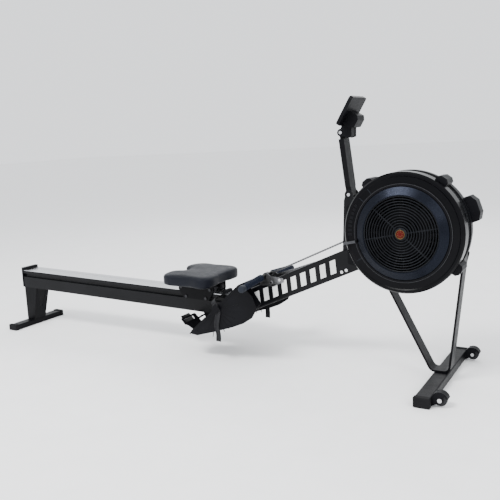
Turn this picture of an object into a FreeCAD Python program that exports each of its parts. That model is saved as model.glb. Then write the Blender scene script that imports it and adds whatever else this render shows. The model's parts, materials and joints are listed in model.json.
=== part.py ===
import FreeCAD, Part
import math
import os

V = FreeCAD.Vector

# ---------------------------------------------------------------- driving dimensions (mm, degrees)
# X runs forward from the rail's rear end to the fan, Y to the rower's left, Z up from the floor.
# The model is built with X = 0 at the rail's rear end and is centred on its length at the end.

RAIL_LENGTH = 1392.0
RAIL_WIDTH = 96.0
RAIL_HEIGHT = 97.0
RAIL_TOP = 316.5
RAIL_DROP = 1.6
TRACK_THICK = 2.0
GROOVE_TOP, GROOVE_BOTTOM, GROOVE_DEPTH = -18.0, -38.0, 12.0
FRONT_STOP = 1331.0

BEAM_RISE = 23.2
BEAM_X, BEAM_Z = 1748.0, 374.0
BEAM_HALF_WIDTH = 30.0
BEAM_HALF_HEIGHT = 48.5
BEAM_REAR_X, BEAM_FRONT_X = 1404.0, 2012.0
WALL = 3.0

FAN_X, FAN_Z = 2219.0, 602.0
COVER_R = 228.0
GRILLE_R = 143.0
BEVEL_R = 174.0
FACE_Y = -167.0
AXLE_R = 8.0
CLEAR = 0.05

SEAT_X = 1197.0
SEAT_WIDTH, SEAT_THICK = 324.0, 50.0
ROLLER_R = 16.0
LOWER_ROLLER_R = 8.5
GAP = 0.3

CHAIN_RISE = 23.9
CHAIN_HEIGHT, CHAIN_WIDTH = 9.0, 6.5
HANDLE_X, HANDLE_Z = 1553.0, 372.0
EXIT_ROLLER_R = 10.8
SPROCKET_TEETH = 29
SPROCKET_TIP_R = 55.0

FOOT_TUBE_X = 2330.0
FOOT_HALF_LENGTH = 305.0
REAR_FOOT_X = 15.0
REAR_FOOT_HALF_LENGTH = 173.0

ARM_X, ARM_Z = 1967.0, 735.0
TILT_X, TILT_Z = 1938.0, 981.0
MONITOR_TILT = 31.0

BOARD_ANGLE = 41.5
HEEL_X, HEEL_Z = 1227.0, 117.0
FOOT_IN, FOOT_OUT = 50.0, 168.0


# ---------------------------------------------------------------- shape helpers
def lift(plane, u, v, level):
    """A point of a flat outline, set in space: level is its place along the plane's normal."""
    if plane == "xz":
        return V(u, level, v)
    if plane == "yz":
        return V(level, u, v)
    return V(u, v, level)


def rounded_wire(points, radius, plane, level, closed=True):
    """A wire through the points with every corner rounded by a tangent arc."""
    pts = [V(u, v, 0) for u, v in points]
    count = len(pts)
    corners = range(count) if closed else range(1, count - 1)
    starts, ends, mids = {}, {}, {}
    for i in corners:
        here, before, after = pts[i], pts[i - 1], pts[(i + 1) % count]
        into, out = (before - here).normalize(), (after - here).normalize()
        half = into.getAngle(out) / 2
        cut = radius / math.tan(half)
        centre = here + (into + out).normalize() * (radius / math.sin(half))
        starts[i] = here + into * cut
        ends[i] = here + out * cut
        mids[i] = centre + (here - centre).normalize() * radius
    edges = []
    pairs = [(i, (i + 1) % count) for i in range(count if closed else count - 1)]
    for i, j in pairs:
        a, b = ends.get(i, pts[i]), starts.get(j, pts[j])
        if (b - a).Length > 1e-6:
            edges.append(Part.LineSegment(lift(plane, a.x, a.y, level), lift(plane, b.x, b.y, level)).toShape())
        if j in mids and radius > 0:
            arc = [lift(plane, p.x, p.y, level) for p in (starts[j], mids[j], ends[j])]
            edges.append(Part.Arc(*arc).toShape())
    return Part.Wire(edges)


def prism(points, plane, low, high, radius=0.0):
    """A flat outline extruded along its plane's normal from low to high."""
    if radius > 0:
        wire = rounded_wire(points, radius, plane, low)
    else:
        wire = Part.makePolygon([lift(plane, u, v, low) for u, v in points + points[:1]])
    return Part.Face(wire).extrude(lift(plane, 0, 0, high - low))


def box(x0, x1, y0, y1, z0, z1):
    return Part.makeBox(x1 - x0, y1 - y0, z1 - z0, V(x0, y0, z0))


def rod(x, z, radius, y0, y1):
    """A cylinder lying across the machine."""
    return Part.makeCylinder(radius, y1 - y0, V(x, y0, z), V(0, 1, 0))


def ring(x, z, inner, outer, y0, y1):
    return rod(x, z, outer, y0, y1).cut(rod(x, z, inner, y0 - 1, y1 + 1))


def revolve(profile, x, z):
    """A closed (radius, y) outline turned about the crosswise line through x, z."""
    pts = [V(x + r, y, z) for r, y in profile + profile[:1]]
    return Part.Face(Part.makePolygon(pts)).revolve(V(x, 0, z), V(0, 1, 0), 360)


def strip(points, radius, thick, y0, y1):
    """A flat bar bent along points of the XZ plane, as wide as y0 to y1."""
    path = rounded_wire(points, radius, "xz", (y0 + y1) / 2, closed=False)
    (xa, za), (xb, zb) = points[0], points[1]
    run = math.hypot(xb - xa, zb - za)
    nx, nz = -(zb - za) / run * thick / 2, (xb - xa) / run * thick / 2
    corners = [V(xa + nx, y0, za + nz), V(xa + nx, y1, za + nz), V(xa - nx, y1, za - nz), V(xa - nx, y0, za - nz)]
    section = Part.makePolygon(corners + corners[:1])
    return path.makePipeShell([section], True, True)


def fuse(shapes):
    return shapes[0].multiFuse(shapes[1:]).removeSplitter()


def cut(shape, tools):
    return shape.cut(tools)


def mirror(shape):
    return shape.mirror(V(0, 0, 0), V(0, 1, 0))


def both_sides(shape):
    return [shape, mirror(shape)]


def on_rail(shape):
    """From rail axes (x along, z up from its top) into the machine's frame."""
    shape.rotate(V(0, 0, 0), V(0, 1, 0), RAIL_DROP)
    shape.translate(V(0, 0, RAIL_TOP))
    return shape


def on_beam(shape):
    """From beam axes (x up the slope, z square to it) into the machine's frame."""
    shape.rotate(V(0, 0, 0), V(0, 1, 0), -BEAM_RISE)
    shape.translate(V(BEAM_X, 0, BEAM_Z))
    return shape


def beam_point(along, up):
    a = math.radians(BEAM_RISE)
    return (BEAM_X + along * math.cos(a) - up * math.sin(a), BEAM_Z + along * math.sin(a) + up * math.cos(a))


def beam_top(x):
    a = math.radians(BEAM_RISE)
    return BEAM_Z + BEAM_HALF_HEIGHT / math.cos(a) + (x - BEAM_X) * math.tan(a)


def fan_point(radius, degrees):
    a = math.radians(degrees)
    return FAN_X + radius * math.cos(a), FAN_Z + radius * math.sin(a)


def around_fan(shape, degrees):
    """Turn a shape made on the fan's +X side to an angle counted up from +X."""
    shape.rotate(V(FAN_X, 0, FAN_Z), V(0, 1, 0), -degrees)
    return shape


# ---------------------------------------------------------------- chain line and pulleys
CHAIN_DIR = V(math.cos(math.radians(CHAIN_RISE)), 0, math.sin(math.radians(CHAIN_RISE)))
CHAIN_UP = V(-CHAIN_DIR.z, 0, CHAIN_DIR.x)
HANDLE = V(HANDLE_X, 0, HANDLE_Z)
EXIT_RUN = 438.0
EXIT_ROLLER = HANDLE + CHAIN_DIR * EXIT_RUN - CHAIN_UP * (EXIT_ROLLER_R + CHAIN_HEIGHT / 2)
PIN_R = 5.0
CORD_R = 4.0
RETURN_OFFSET = 40.0
UPPER_PULLEY_R = 24.0
LOWER_PULLEY_R = RETURN_OFFSET - CORD_R - GAP
UPPER_ALONG, LOWER_ALONG = 263.0, -298.0
RETURN_RUN = 110.0


def beam_vector(along, up):
    x, z = beam_point(along, up)
    return V(x, 0, z)


UPPER_PULLEY = beam_vector(UPPER_ALONG, RETURN_OFFSET - UPPER_PULLEY_R - GAP - CHAIN_HEIGHT / 2)
LOWER_PULLEY = beam_vector(LOWER_ALONG, 0.0)


# ---------------------------------------------------------------- rail and its leg
def rail_beam():
    w, h = RAIL_WIDTH / 2, RAIL_HEIGHT
    g = w - GROOVE_DEPTH
    right = [(w, -TRACK_THICK), (w, GROOVE_TOP), (g, GROOVE_TOP), (g, GROOVE_BOTTOM), (w, GROOVE_BOTTOM), (w, -h)]
    left = [(-y, z) for y, z in reversed(right)]
    outer = prism(right + left, "yz", 0.0, RAIL_LENGTH)
    inner = prism([(g - 4, -6), (g - 4, 4 - h), (4 - g, 4 - h), (4 - g, -6)], "yz", -1.0, RAIL_LENGTH + 1)
    return on_rail(outer.cut(inner))


def rail_track():
    w = RAIL_WIDTH / 2 + 1.5
    plate = box(12, RAIL_LENGTH, -w, w, -TRACK_THICK, 0)
    groove = box(11, RAIL_LENGTH + 1, -17, 17, -0.8, 1)
    return on_rail(plate.cut(groove))


def rail_end_stops():
    w = RAIL_WIDTH / 2
    plate = prism([(-w - 2, 14), (w + 2, 14), (w + 2, -RAIL_HEIGHT), (-w - 2, -RAIL_HEIGHT)], "yz", -7.0, 0.0, 4.0)
    bar = prism([(-7, 14), (12, 14), (12, 0), (0, 0), (0, -2), (-7, -2)], "xz", -w - 2, w + 2)
    front = prism([(-30, 0), (30, 0), (30, 13), (-30, 13)], "yz", FRONT_STOP, FRONT_STOP + 16)
    return Part.makeCompound([on_rail(fuse([plate, bar])), on_rail(front)])


def rail_bracket():
    """End plate on the rail's front with two tongues that clasp the beam."""
    w = RAIL_WIDTH / 2
    plate = on_rail(box(RAIL_LENGTH, RAIL_LENGTH + 6, -w, w, -RAIL_HEIGHT, -2))
    px, pz = LOWER_PULLEY.x, LOWER_PULLEY.z
    outline = [(1394, 190), (1394, 268), (px + 20, pz + 27), (px + 32, pz + 2), (px + 14, pz - 26)]
    tongue = prism(outline, "xz", BEAM_HALF_WIDTH, BEAM_HALF_WIDTH + 4, 8.0)
    tongue = tongue.cut(rod(px, pz, PIN_R, 0, 60))
    return fuse([plate] + both_sides(tongue))


def rear_leg():
    def section(z, x0, x1, half):
        return Part.makePolygon([V(x0, -half, z), V(x1, -half, z), V(x1, half, z), V(x0, half, z), V(x0, -half, z)])
    outer = Part.makeLoft([section(30, -12, 42, 40), section(222, 0, 94, 47)], True)
    inner = Part.makeLoft([section(30, -40, 38.5, 36.5), section(222, -40, 90.5, 43.5)], True)
    notch = prism([(-35, 230), (35, 230), (8, 96), (-8, 96)], "yz", 20, 120)
    roof = box(0, 88, -45, 45, -RAIL_HEIGHT - 4, -RAIL_HEIGHT)
    above = on_rail(box(-60, 200, -80, 80, -RAIL_HEIGHT, 0))
    foot = box(-12, 42, -40, 40, 30, 34)
    return fuse([outer.cut([inner, notch, above]), on_rail(roof), foot])


def rear_foot_bar():
    x0, x1 = REAR_FOOT_X - 28.5, REAR_FOOT_X + 28.5
    half = REAR_FOOT_HALF_LENGTH - 20
    outer = prism([(x0, 2), (x1, 2), (x1, 30), (x0, 30)], "xz", -half, half, 4.0)
    inner = prism([(x0 + 3, 5), (x1 - 3, 5), (x1 - 3, 27), (x0 + 3, 27)], "xz", -half - 1, half + 1, 2.0)
    return outer.cut(inner)


def end_cap(x, half_width, height, y0, y1):
    """Rubber block on a foot bar's end, with its outer face chamfered."""
    body = prism([(x - half_width, 0), (x + half_width, 0), (x + half_width, height), (x - half_width, height)],
                 "xz", y0, y1, 5.0)
    return body.makeChamfer(3.0, [e for e in body.Edges if all(v.Y > y1 - 0.01 for v in e.Vertexes)])


def foot_caps():
    rear = end_cap(REAR_FOOT_X, 31, 33, REAR_FOOT_HALF_LENGTH - 20, REAR_FOOT_HALF_LENGTH)
    front = end_cap(FOOT_TUBE_X, 31, 40, FOOT_HALF_LENGTH - 20, FOOT_HALF_LENGTH)
    return Part.makeCompound(both_sides(rear) + both_sides(front))


# ---------------------------------------------------------------- front frame
def main_beam():
    w, h = BEAM_HALF_WIDTH, BEAM_HALF_HEIGHT
    outer = prism([(-w, -h), (w, -h), (w, h), (-w, h)], "yz", -460, 360, 7.0)
    w, h = w - WALL, h - WALL
    inner = prism([(-w, -h), (w, -h), (w, h), (-w, h)], "yz", -461, 361, 4.0)
    tube = on_beam(outer.cut(inner))
    ends = [box(1200, BEAM_REAR_X, -60, 60, 0, 600), box(BEAM_FRONT_X, 2200, -60, 60, 200, 800)]
    pins = [rod(p.x, p.z, PIN_R, -60, 60) for p in (UPPER_PULLEY, LOWER_PULLEY)]
    low_end = UPPER_ALONG - RETURN_RUN - 30
    anchor = on_beam(box(low_end, low_end + 10, -12, 12, -h - 1, -RETURN_OFFSET + 8))
    return fuse([tube.cut(ends + pins), anchor])


def upright_casing():
    """Chain casing on the beam's front end, open at the top between its two round ears."""
    w = BEAM_HALF_WIDTH
    foot = [(1934, beam_top(1934)), (BEAM_FRONT_X, beam_top(BEAM_FRONT_X))]
    body = prism(foot[:1] + [(1945, 712), (1950, 728), (1984, 728), (2012, 690)] + foot[1:], "xz", -w, w)
    outer = fuse([body, rod(ARM_X, ARM_Z, 18, -w, w)])
    inner = prism([(1900, 760), (1937.5, 480), (2009, 480), (2009, 760)], "xz", WALL - w, w - WALL)
    front = prism(foot[:1] + [(1945, 712), (1948, 712), (1937.5, 480), (1934, 480)], "xz", -w, w)
    lid = box(1944, 1996, -w, w, 706, 709)
    shell = fuse([outer.cut(inner), outer.common(front), outer.common(lid)])
    below = on_beam(box(-600, 600, -60, 60, -200, BEAM_HALF_HEIGHT))
    chain_slot = box(1920, 1950, -7, 7, 526, 577)
    fan_window = box(2005, 2020, -16, 16, 545, 622)
    pins = [rod(EXIT_ROLLER.x, EXIT_ROLLER.z, PIN_R, -60, 60), rod(ARM_X, ARM_Z, PIN_R, -60, 60)]
    return shell.cut([below, chain_slot, fan_window] + pins)


def fan_plate(radius, y0, y1, boss0, boss1):
    """Steel plate that carries the fan's bearing: disc, tongue to the upright, ear to the front leg."""
    disc = rod(FAN_X, FAN_Z, radius, y0, y1)
    tongue = prism([(1956, 452), (2056, 438), (2094, 408), (2112, 440), (2094, 690), (1956, 690)], "xz", y0, y1, 8.0)
    ear = prism([(2330, 470), (2412, 462), (2424, 510), (2360, 560)], "xz", y0, y1, 8.0)
    boss = rod(FAN_X, FAN_Z, 27, boss0, boss1)
    holes = [rod(*fan_point(122, 30 + 60 * k), 44, y0 - 1, y1 + 1) for k in range(6)]
    seat = rod(FAN_X, FAN_Z, 17.5, -60, 60)
    return fuse([disc, tongue, ear, boss]).cut(holes + [seat])


def fan_plates():
    return Part.makeCompound([fan_plate(214, -34, -30, -34, -22), fan_plate(202, 30, 34, 22, 34)])


LEG_LEFT_TOP, LEG_RIGHT_TOP = (2068.0, 471.0), (2415.4, 508.0)
LEG_HALF_WIDTH = 30.0
LEG_CORNERS = [(2290.0, 42.0), (2360.0, 42.0)]


def front_leg_strap():
    """One flat bar bent to a V: fan to foot, along the foot, and back up to the fan."""
    path = [LEG_LEFT_TOP] + LEG_CORNERS + [LEG_RIGHT_TOP]
    return strip(path, 24.0, 8.0, -LEG_HALF_WIDTH, LEG_HALF_WIDTH)


def front_foot_tube():
    x0, x1 = FOOT_TUBE_X - 29, FOOT_TUBE_X + 29
    half = FOOT_HALF_LENGTH - 20
    outer = prism([(x0, 2), (x1, 2), (x1, 38), (x0, 38)], "xz", -half, half, 5.0)
    inner = prism([(x0 + 3, 5), (x1 - 3, 5), (x1 - 3, 35), (x0 + 3, 35)], "xz", -half - 1, half + 1, 2.0)
    return outer.cut(inner)


CASTER_X, CASTER_Y, CASTER_Z, CASTER_R = 2389.0, 262.0, 30.0, 24.0


def caster_bracket():
    """Fork welded to the front foot, with a curved hood over the wheel."""
    x0 = FOOT_TUBE_X + 29
    near, far = CASTER_Y - 12.5, CASTER_Y + 12.5
    hub = (CASTER_X, CASTER_Z)
    outline = [(x0, 6), (x0, 38), (CASTER_X - 4, CASTER_Z + 12), (CASTER_X + 8, CASTER_Z + 8),
               (CASTER_X + 8, CASTER_Z - 8),
               (CASTER_X - 4, CASTER_Z - 12)]
    arm = fuse([prism(outline, "xz", far, far + 3.5), rod(*hub, 12, far, far + 3.5)])
    hood = ring(*hub, CASTER_R + 2.5, CASTER_R + 6, near - 3.5, far + 3.5)
    below = prism([(CASTER_X - 60, -60), (CASTER_X + 60, -60), (CASTER_X + 60, 44), (CASTER_X - 24, 26), (CASTER_X - 60, 26)],
                  "xz", near - 10, far + 10)
    hood = hood.cut([below, box(x0 - 40, x0, near - 9, far + 9, 0, 90)])
    cheeks = [prism([(x0, 30), (x0, 40), (x0 + 14, 57), (CASTER_X, 59), (CASTER_X + 20, 50), (CASTER_X, 30)], "xz",
                    far, far + 3.5)]
    arms = fuse([arm] + cheeks)
    other = arms.copy()
    other.translate(V(0, -28.5, 0))
    root = box(x0, x0 + 3, near - 3.5, far + 3.5, 8, 38)
    return fuse([arms, other, hood, root]).cut(rod(*hub, PIN_R, near - 20, far + 20))


def caster_wheel(side):
    y = side * CASTER_Y
    profile = [(PIN_R + CLEAR, y - 11), (CASTER_R - 3, y - 11), (CASTER_R, y - 8), (CASTER_R, y + 8),
               (CASTER_R - 3, y + 11), (PIN_R + CLEAR, y + 11)]
    return revolve(profile, CASTER_X, CASTER_Z)


def caster_axle():
    shaft = rod(CASTER_X, CASTER_Z, PIN_R, CASTER_Y - 16, CASTER_Y + 16)
    head = rod(CASTER_X, CASTER_Z, 8, CASTER_Y + 16, CASTER_Y + 20)
    nut = rod(CASTER_X, CASTER_Z, 7, CASTER_Y - 20, CASTER_Y - 16)
    return fuse([shaft, head, nut])


def bolt_head(x, z, y, side):
    """Button head standing out from y on one side of the machine."""
    y0, y1 = sorted((y, y + side * 5.0))
    return rod(x, z, 6.5, y0, y1)


def through_bolt(x, z, half, radius=PIN_R):
    shaft = rod(x, z, radius, -half, half)
    return fuse([shaft, bolt_head(x, z, half, 1), bolt_head(x, z, -half, -1)])


def frame_bolts():
    w = BEAM_HALF_WIDTH
    upper = [beam_point(t, -32.0) for t in (182.0, 204.0)]
    heads = [bolt_head(x, z, s * w, s) for x, z in upper for s in (1, -1)]
    rest = [bolt_head(x, z, s * (w + 3), s) for x, z in ((1592, 350), (1636, 364)) for s in (1, -1)]
    pivots = [through_bolt(ARM_X, ARM_Z, w), through_bolt(LOWER_PULLEY.x, LOWER_PULLEY.z, w + 4)]
    pins = [rod(p.x, p.z, PIN_R, -30, 30) for p in (EXIT_ROLLER, UPPER_PULLEY)]
    return Part.makeCompound(heads + rest + pivots + pins + both_sides(caster_axle()))


REST_HOOK = [(1536, 334), (1534, 356), (1538, 360.7), (1566, 360.7), (1568, 385), (1578, 388)]


def handle_rest():
    """Stainless hook plates on the beam's sides that cradle the handle."""
    w = BEAM_HALF_WIDTH
    far = REST_HOOK + [(1590, 376), (1655, 398), (1776, 440), (1790, 424), (1640, 350)]
    near = REST_HOOK + [(1590, 376), (1652, 372), (1656, 356), (1600, 331)]
    return Part.makeCompound([prism(far, "xz", w, w + 3), prism(near, "xz", -w - 3, -w)])


# ---------------------------------------------------------------- fan drum
def fan_cover_near():
    """Dished cover: bevelled ring round the grille, broad face, rim and side wall."""
    profile = [(GRILLE_R, FACE_Y), (GRILLE_R + 3, FACE_Y - 1), (BEVEL_R, -151), (BEVEL_R + 2, -148),
               (210, -147), (214, -150), (222, -149), (COVER_R, -141), (COVER_R, -96), (COVER_R - 4, -96),
               (COVER_R - 4, -138), (219, -144), (BEVEL_R, -144), (GRILLE_R + 3, -160), (GRILLE_R, -160)]
    return revolve(profile, FAN_X, FAN_Z)


def fan_grille():
    rings = [ring(FAN_X, FAN_Z, r - 2.2, r + 2.2, -165, -161) for r in range(31, 136, 10)]
    rim = ring(FAN_X, FAN_Z, 138.5, GRILLE_R, -166, -160)
    hub = rod(FAN_X, FAN_Z, 25, -166, -158)
    spokes = [around_fan(box(FAN_X + 10, FAN_X + 140, -165, -160, FAN_Z - 2.5, FAN_Z + 2.5), a)
              for a in (138, 318, 10, 190)]
    return fuse([hub, rim] + rings + spokes)


def hub_medallion():
    return revolve([(0, -170), (14, -170), (17, -168.5), (18, -166), (0, -166)], FAN_X, FAN_Z)


def perforated_band():
    return ring(FAN_X, FAN_Z, COVER_R - 5.5, COVER_R - 4, -100, -48)


def fan_cover_far():
    """Second half of the drum, narrowing to a ribbed back."""
    profile = [(COVER_R - 4, -52), (COVER_R, -52), (COVER_R, -30), (219, 20), (210, 40), (204, 44), (60, 44),
               (56, 50), (0, 50), (0, 46), (54, 46), (58, 40), (203, 40), (207, 36), (215, 18), (COVER_R - 4, -30)]
    shell = revolve(profile, FAN_X, FAN_Z)
    ribs = [around_fan(box(FAN_X + 62, FAN_X + 200, 43, 47, FAN_Z - 3, FAN_Z + 3), 15 + 30 * k) for k in range(12)]
    openings = [box(1960, 2066, -34.5, 34.5, 420, 705), box(2362, 2440, -34.5, 34.5, 440, 520),
                box(2040, 2130, -34.5, 34.5, 370, 470)]
    flange = ring(FAN_X, FAN_Z, 205, 226, -30, -27)
    return fuse([shell, flange] + ribs).cut(openings)


def cover_lug(degrees, y0, y1):
    """Moulded clamp that holds the two halves of the drum together."""
    x, z = FAN_X, FAN_Z
    body = prism([(x + 220, z - 24), (x + 240, z - 22), (x + 249, z - 11), (x + 249, z + 11),
                  (x + 240, z + 22), (x + 220, z + 24)], "xz", y0, y1)
    return around_fan(body.cut(rod(x, z, COVER_R, -200, 100)), degrees)


def cover_lugs():
    return Part.makeCompound([cover_lug(128, -112, -30), cover_lug(54, -112, -30), cover_lug(-35, -112, -36)])


def sensor_box():
    """Angular housing on the drum's front."""
    x, z = FAN_X, FAN_Z
    body = prism([(x + 205, z - 48), (x + 248, z - 46), (x + 262, z - 20), (x + 262, z + 26),
                  (x + 246, z + 50), (x + 205, z + 50)], "xz", -26, 28)
    body = around_fan(body, 19)
    core = revolve([(0, -60), (COVER_R, -60), (COVER_R, -30), (219, 20), (216, 40), (0, 40)], x, z)
    return body.cut(core)


def fan_wheel():
    """Steel disc with radial blades between its rim rings."""
    back = ring(FAN_X, FAN_Z, AXLE_R, 205, -64, -60)
    hub = ring(FAN_X, FAN_Z, AXLE_R, 26, -138, -48)
    weight = ring(FAN_X, FAN_Z, 176, 205, -60, -46)
    front = ring(FAN_X, FAN_Z, 196, 205, -136, -132)
    web = ring(FAN_X, FAN_Z, 26, 34, -90, -64)
    blades = [around_fan(box(FAN_X + 96, FAN_X + 203, -134, -63, FAN_Z - 1.2, FAN_Z + 1.2), 15 * k)
              for k in range(24)]
    return fuse([back, hub, weight, front, web] + blades)


def fan_axle():
    return rod(FAN_X, FAN_Z, AXLE_R, -148, 38)


def axle_bearings():
    return Part.makeCompound([ring(FAN_X, FAN_Z, AXLE_R + CLEAR, 17.5, y, y + 12) for y in (-34, 22)])


def chain_sprocket():
    """Toothed wheel with its one-way clutch hub."""
    root = SPROCKET_TIP_R - 4
    steps = ((0.0, root), (0.28, root), (0.42, SPROCKET_TIP_R), (0.58, SPROCKET_TIP_R), (0.72, root))
    outline = [fan_point(r, (k + t) * 360 / SPROCKET_TEETH) for k in range(SPROCKET_TEETH) for t, r in steps]
    wheel = prism(outline, "xz", -1.4, 1.4)
    hub = rod(FAN_X, FAN_Z, 19, -16, 16)
    holes = [rod(*fan_point(36, 60 * k), 9, -5, 5) for k in range(6)]
    return fuse([wheel, hub]).cut(holes + [rod(FAN_X, FAN_Z, AXLE_R + CLEAR, -60, 60)])


DAMPER_ANGLE = 191.0


def damper_lever():
    """Ring that turns on the cover's bevel, with the lever that moves it."""
    band = ring(FAN_X, FAN_Z, BEVEL_R + 3, BEVEL_R + 11, -151, -148.3)
    arm = prism([(FAN_X + 180, FAN_Z - 5), (FAN_X + 232, FAN_Z - 5), (FAN_X + 232, FAN_Z + 5),
                 (FAN_X + 180, FAN_Z + 5)], "xz", -157, -151, 3.0)
    return fuse([band, around_fan(arm, DAMPER_ANGLE)])


# ---------------------------------------------------------------- chain and its return
YOKE_REACH = 34.0


def chain_run():
    """Straight chain from the handle over the exit roller."""
    length = EXIT_RUN + 20 - YOKE_REACH
    bar = box(0, length, -CHAIN_WIDTH / 2, CHAIN_WIDTH / 2, -CHAIN_HEIGHT / 2, CHAIN_HEIGHT / 2)
    bar.rotate(V(0, 0, 0), V(0, 1, 0), -CHAIN_RISE)
    bar.translate(HANDLE + CHAIN_DIR * YOKE_REACH)
    return bar


def arc_points(centre, radius, start, end, count):
    angles = [math.radians(start + (end - start) * k / (count - 1)) for k in range(count)]
    return [(centre.x + radius * math.cos(a), centre.z + radius * math.sin(a)) for a in angles]


def chain_drive():
    """Chain round the sprocket, over the upper pulley and down inside the beam."""
    hub = V(FAN_X, 0, FAN_Z)
    low = SPROCKET_TIP_R + GAP
    high = low + CHAIN_HEIGHT
    near = UPPER_PULLEY_R + GAP
    far = near + CHAIN_HEIGHT
    gap = UPPER_PULLEY - hub
    swing = math.degrees(math.acos((low + near + CHAIN_HEIGHT) / gap.Length))
    leave = math.degrees(math.atan2(gap.z, gap.x)) + swing
    start = HANDLE + CHAIN_DIR * (EXIT_RUN + 22)
    half = CHAIN_UP * (CHAIN_HEIGHT / 2)
    top, bottom = start + half, start - half
    down = V(-math.cos(math.radians(BEAM_RISE)), 0, -math.sin(math.radians(BEAM_RISE))) * RETURN_RUN
    outer = [(top.x, top.z)] + arc_points(hub, high, 90 + CHAIN_RISE, leave, 28)
    inner = [(bottom.x, bottom.z)] + arc_points(hub, low, 90 + CHAIN_RISE, leave, 28)
    outer += arc_points(UPPER_PULLEY, near, leave + 180, 90 + BEAM_RISE, 4)
    inner += arc_points(UPPER_PULLEY, far, leave + 180, 90 + BEAM_RISE, 4)
    outer.append((outer[-1][0] + down.x, outer[-1][1] + down.z))
    inner.append((inner[-1][0] + down.x, inner[-1][1] + down.z))
    return prism(inner + outer[::-1], "xz", -CHAIN_WIDTH / 2, CHAIN_WIDTH / 2)


def exit_roller():
    return ring(EXIT_ROLLER.x, EXIT_ROLLER.z, PIN_R + CLEAR, EXIT_ROLLER_R - GAP, -8, 8)


def pulley(centre, radius):
    """Grooved wheel on a pin."""
    profile = [(PIN_R + CLEAR, -8), (radius + 3, -8), (radius + 3, -6), (radius, -4.6), (radius, 4.6),
               (radius + 3, 6), (radius + 3, 8), (PIN_R + CLEAR, 8)]
    return revolve(profile, centre.x, centre.z)


def shock_cord():
    """Elastic cord from the chain's end, round the lower pulley and back up to its anchor."""
    top_end = UPPER_ALONG - RETURN_RUN
    low_end = top_end - 30
    top = Part.makeCylinder(CORD_R, top_end - LOWER_ALONG, V(LOWER_ALONG, 0, RETURN_OFFSET), V(1, 0, 0))
    low = Part.makeCylinder(CORD_R, low_end - LOWER_ALONG, V(LOWER_ALONG, 0, -RETURN_OFFSET), V(1, 0, 0))
    turn = Part.makeTorus(RETURN_OFFSET, CORD_R, V(LOWER_ALONG, 0, 0), V(0, 1, 0))
    turn = turn.cut(box(LOWER_ALONG, LOWER_ALONG + 80, -50, 50, -80, 80))
    return on_beam(fuse([top, turn, low]))


# ---------------------------------------------------------------- handle
GRIP_DROP, GRIP_BEND = 12.0, 6.0
GRIP_INNER, GRIP_OUTER = 48.0, 235.0


def bar_point(y):
    """Centre of the handle bar at a place across the machine."""
    share = max(0.0, abs(y) - GRIP_INNER) / (GRIP_OUTER - GRIP_INNER)
    return V(HANDLE_X + GRIP_BEND * share, y, HANDLE_Z - GRIP_DROP * share)


def bar_run(radius, y0, y1):
    a, b = bar_point(y0), bar_point(y1)
    return Part.makeCylinder(radius, (b - a).Length, a, b - a)


def handle_bar():
    knees = [Part.makeSphere(11, bar_point(s * GRIP_INNER)) for s in (1, -1)]
    runs = [bar_run(11, -GRIP_INNER, GRIP_INNER), bar_run(11, GRIP_INNER, GRIP_OUTER - 4),
            bar_run(11, -GRIP_INNER, 4 - GRIP_OUTER)]
    return fuse(runs + knees)


def handle_grips():
    solids = []
    for side in (1, -1):
        sleeve = bar_run(15.5, side * (GRIP_INNER + 4), side * GRIP_OUTER)
        core = bar_run(11, side * GRIP_INNER, side * (GRIP_OUTER - 4))
        solids.append(sleeve.cut(core))
    return Part.makeCompound(solids)


def handle_yoke():
    """Steel collar round the bar with the tongue that takes the chain."""
    collar = ring(HANDLE_X, HANDLE_Z, 11, 14.5, -13, 13)
    tongue = box(13, YOKE_REACH, -6, 6, -5, 5)
    tongue.rotate(V(0, 0, 0), V(0, 1, 0), -CHAIN_RISE)
    tongue.translate(V(HANDLE_X, 0, HANDLE_Z))
    return fuse([collar, tongue])


# ---------------------------------------------------------------- footrests
def on_board(shape):
    """From foot-board axes (x up the board from the heel, z off its face) into the machine's frame."""
    shape.rotate(V(0, 0, 0), V(0, 1, 0), -BOARD_ANGLE)
    shape.translate(V(HEEL_X, 0, HEEL_Z))
    return shape


BOARD_LENGTH = 374.0
BOARD_THICK = 6.0
STRAP_ALONG, STRAP_WIDTH, STRAP_THICK = 206.0, 27.0, 2.4
STRAP_LEGS = (FOOT_IN + 5, FOOT_OUT - 7)


SKIRT = [(0, 0), (BOARD_LENGTH, 0), (384, -20), (388, -80), (368, -132), (322, -146), (270, -138), (214, -118),
         (119, -76), (30, -33)]


def inset(points, share):
    """The outline drawn in towards its middle."""
    u0 = sum(u for u, _ in points) / len(points)
    v0 = sum(v for _, v in points) / len(points)
    return [(u0 + (u - u0) * share, v0 + (v - v0) * share) for u, v in points]


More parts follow.
